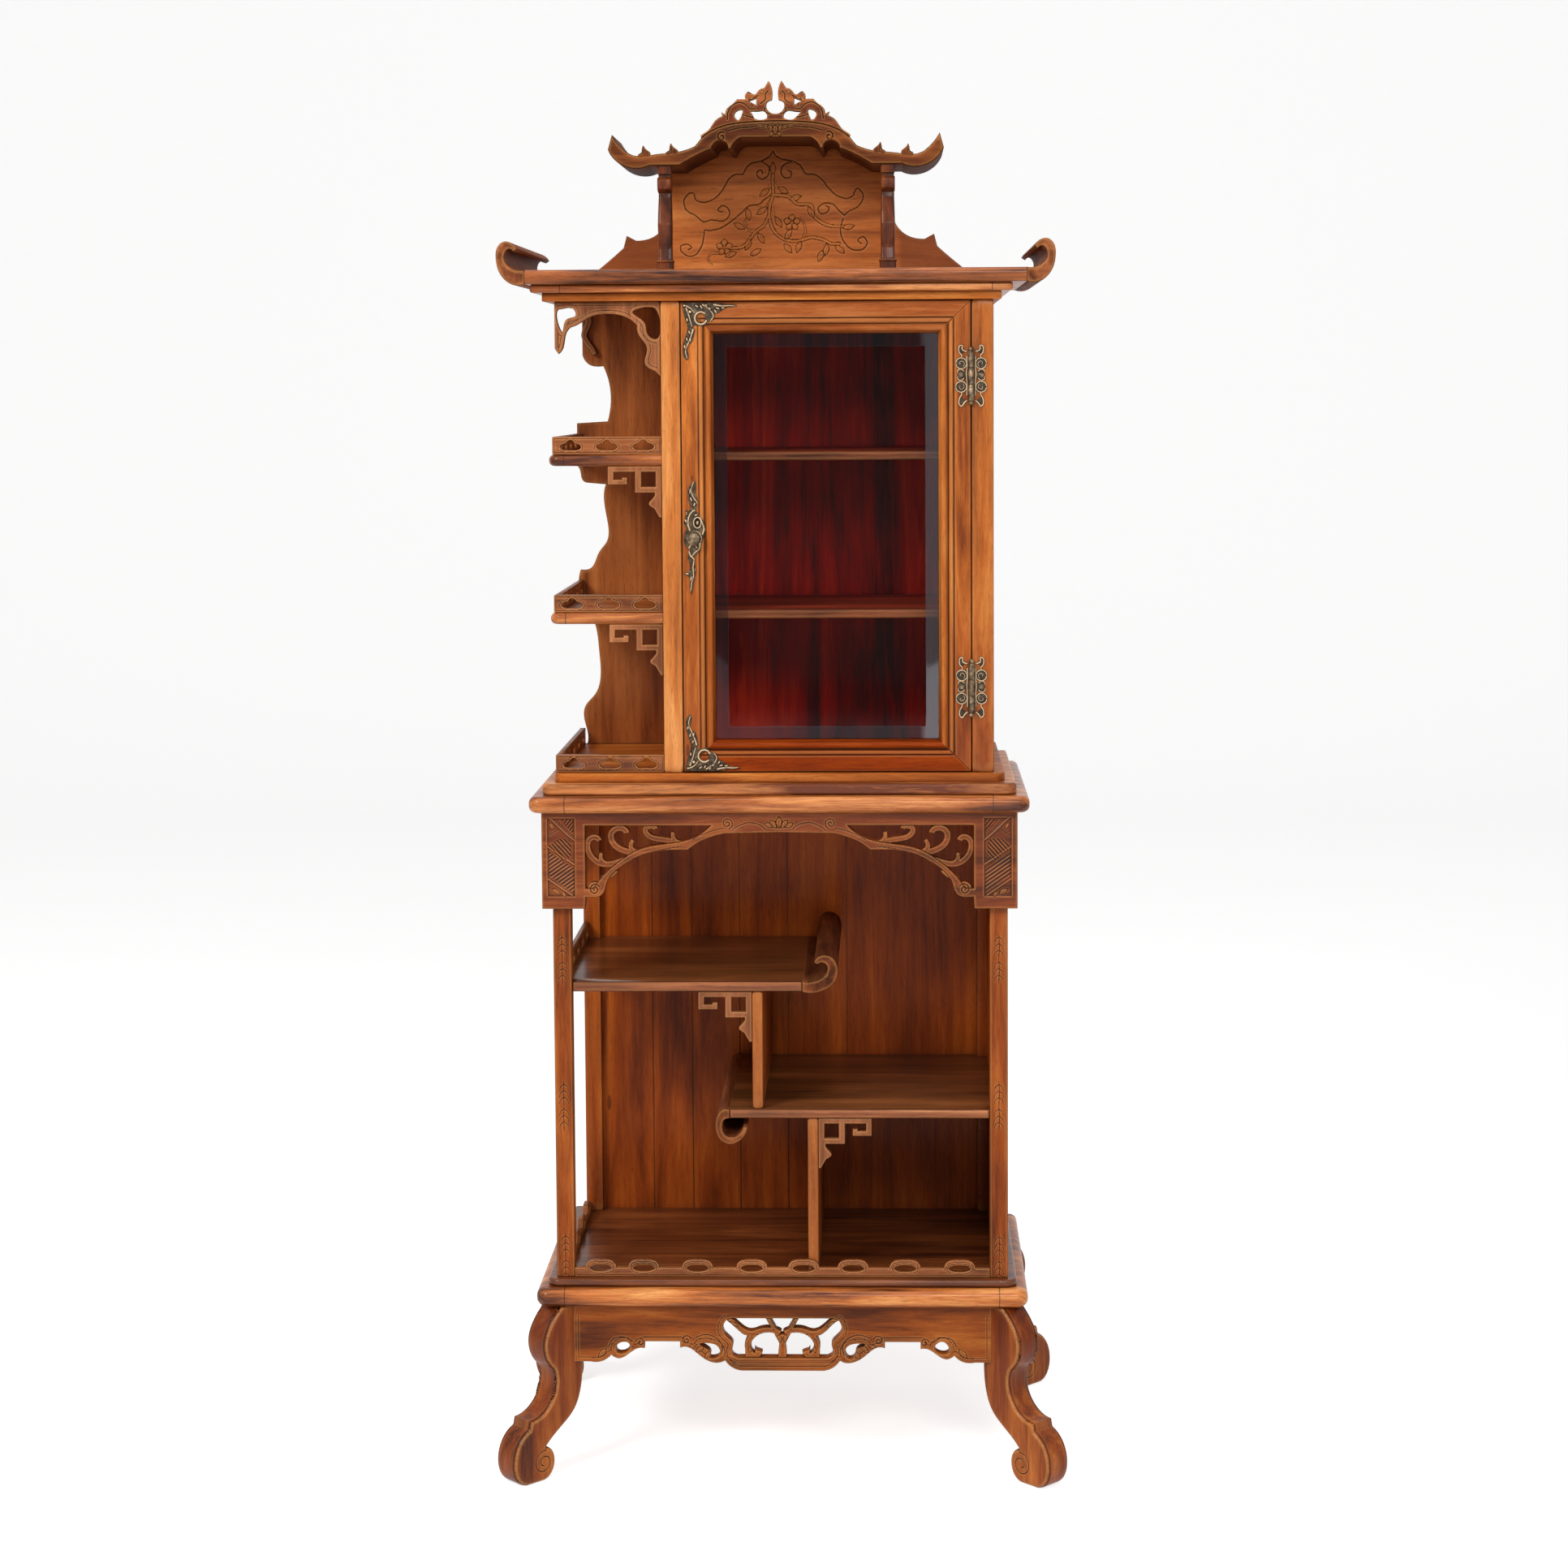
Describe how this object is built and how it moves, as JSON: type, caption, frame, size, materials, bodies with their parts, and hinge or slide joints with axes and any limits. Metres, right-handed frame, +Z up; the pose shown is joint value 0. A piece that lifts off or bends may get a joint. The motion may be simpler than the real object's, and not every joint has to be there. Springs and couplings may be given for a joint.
{
  "type": "book cabinet",
  "caption": "Tall carved hardwood curio and book cabinet: glazed door with a latch beside stepped open shelves, on an open stand with scroll legs and a pagoda crest.",
  "frame": {"origin": "on the floor under the middle of the cabinet", "axes": "+Z up, the front faces -Y, +X to the right of someone facing the cabinet"},
  "size_m": [0.775, 0.489, 1.8855],
  "materials": {
    "frame_wood": "waxed satin hardwood, orange brown",
    "carved_wood": "waxed satin hardwood, darker in the carving",
    "panel_wood": "satin boards, dark brown",
    "red_panel": "deep red painted lining",
    "antique_brass": "aged brass",
    "glass": "clear bevelled glass"
  },
  "bodies": {
    "cabinet": {"apron_front": "carved_wood", "apron_rear": "carved_wood", "apron_sides": "carved_wood", "base_deck": "panel_wood", "base_galleries": "carved_wood", "base_moulding": "frame_wood", "bay_arch_bracket": "carved_wood", "bay_back_board": "panel_wood", "bay_fret_brackets": "carved_wood", "bay_galleries": "carved_wood", "bay_rear_bracket": "carved_wood", "bay_shelves": "panel_wood", "cabinet_back_board": "red_panel", "cabinet_post_left": "frame_wood", "cabinet_post_right": "frame_wood", "cabinet_shelves": "red_panel", "cabinet_sides": "frame_wood", "cornice_bed": "frame_wood", "cornice_board": "frame_wood", "cornice_fillet": "frame_wood", "cornice_scrolls": "frame_wood", "crest_brackets": "carved_wood", "crest_panel": "carved_wood", "crest_roof": "frame_wood", "dragon_crest": "carved_wood", "frieze_front": "carved_wood", "frieze_sides": "carved_wood", "front_posts": "frame_wood", "hinge_pins": "antique_brass", "hinge_post_leaves": "antique_brass", "left_shelf": "panel_wood", "left_shelf_gallery": "carved_wood", "left_shelf_scroll": "carved_wood", "leg_front_left": "frame_wood", "leg_front_right": "frame_wood", "leg_rear_left": "frame_wood", "leg_rear_right": "frame_wood", "lower_back_panel": "panel_wood", "lower_divider": "panel_wood", "lower_fret_brackets": "carved_wood", "lower_side_panel": "panel_wood", "rear_posts": "frame_wood", "right_shelf": "panel_wood", "right_shelf_scroll": "carved_wood", "shelf_cleats": "red_panel", "upper_divider": "panel_wood", "waist_board": "frame_wood", "waist_fillet": "frame_wood", "waist_step": "frame_wood"},
    "door": {"door_stile_left": "frame_wood", "door_stile_right": "frame_wood", "door_rails": "frame_wood", "door_glass": "glass", "door_glazing_beads": "frame_wood", "lock_plate": "antique_brass", "corner_mounts": "antique_brass", "hinge_door_leaves": "antique_brass"},
    "latch": {"turn_knob": "antique_brass", "latch_tongue": "antique_brass"}
  },
  "joints": [
    {"name": "door_hinge", "type": "hinge", "parent": "cabinet", "child": "door", "pos_m": [0.2594, -0.157, 1.278], "axis": [0, 0, 1], "range_deg": [0, 150]},
    {"name": "latch_turn", "type": "hinge", "parent": "door", "child": "latch", "pos_m": [-0.112, -0.153, 1.278], "axis": [0, 1, 0], "range_deg": [0, 90]}
  ]
}
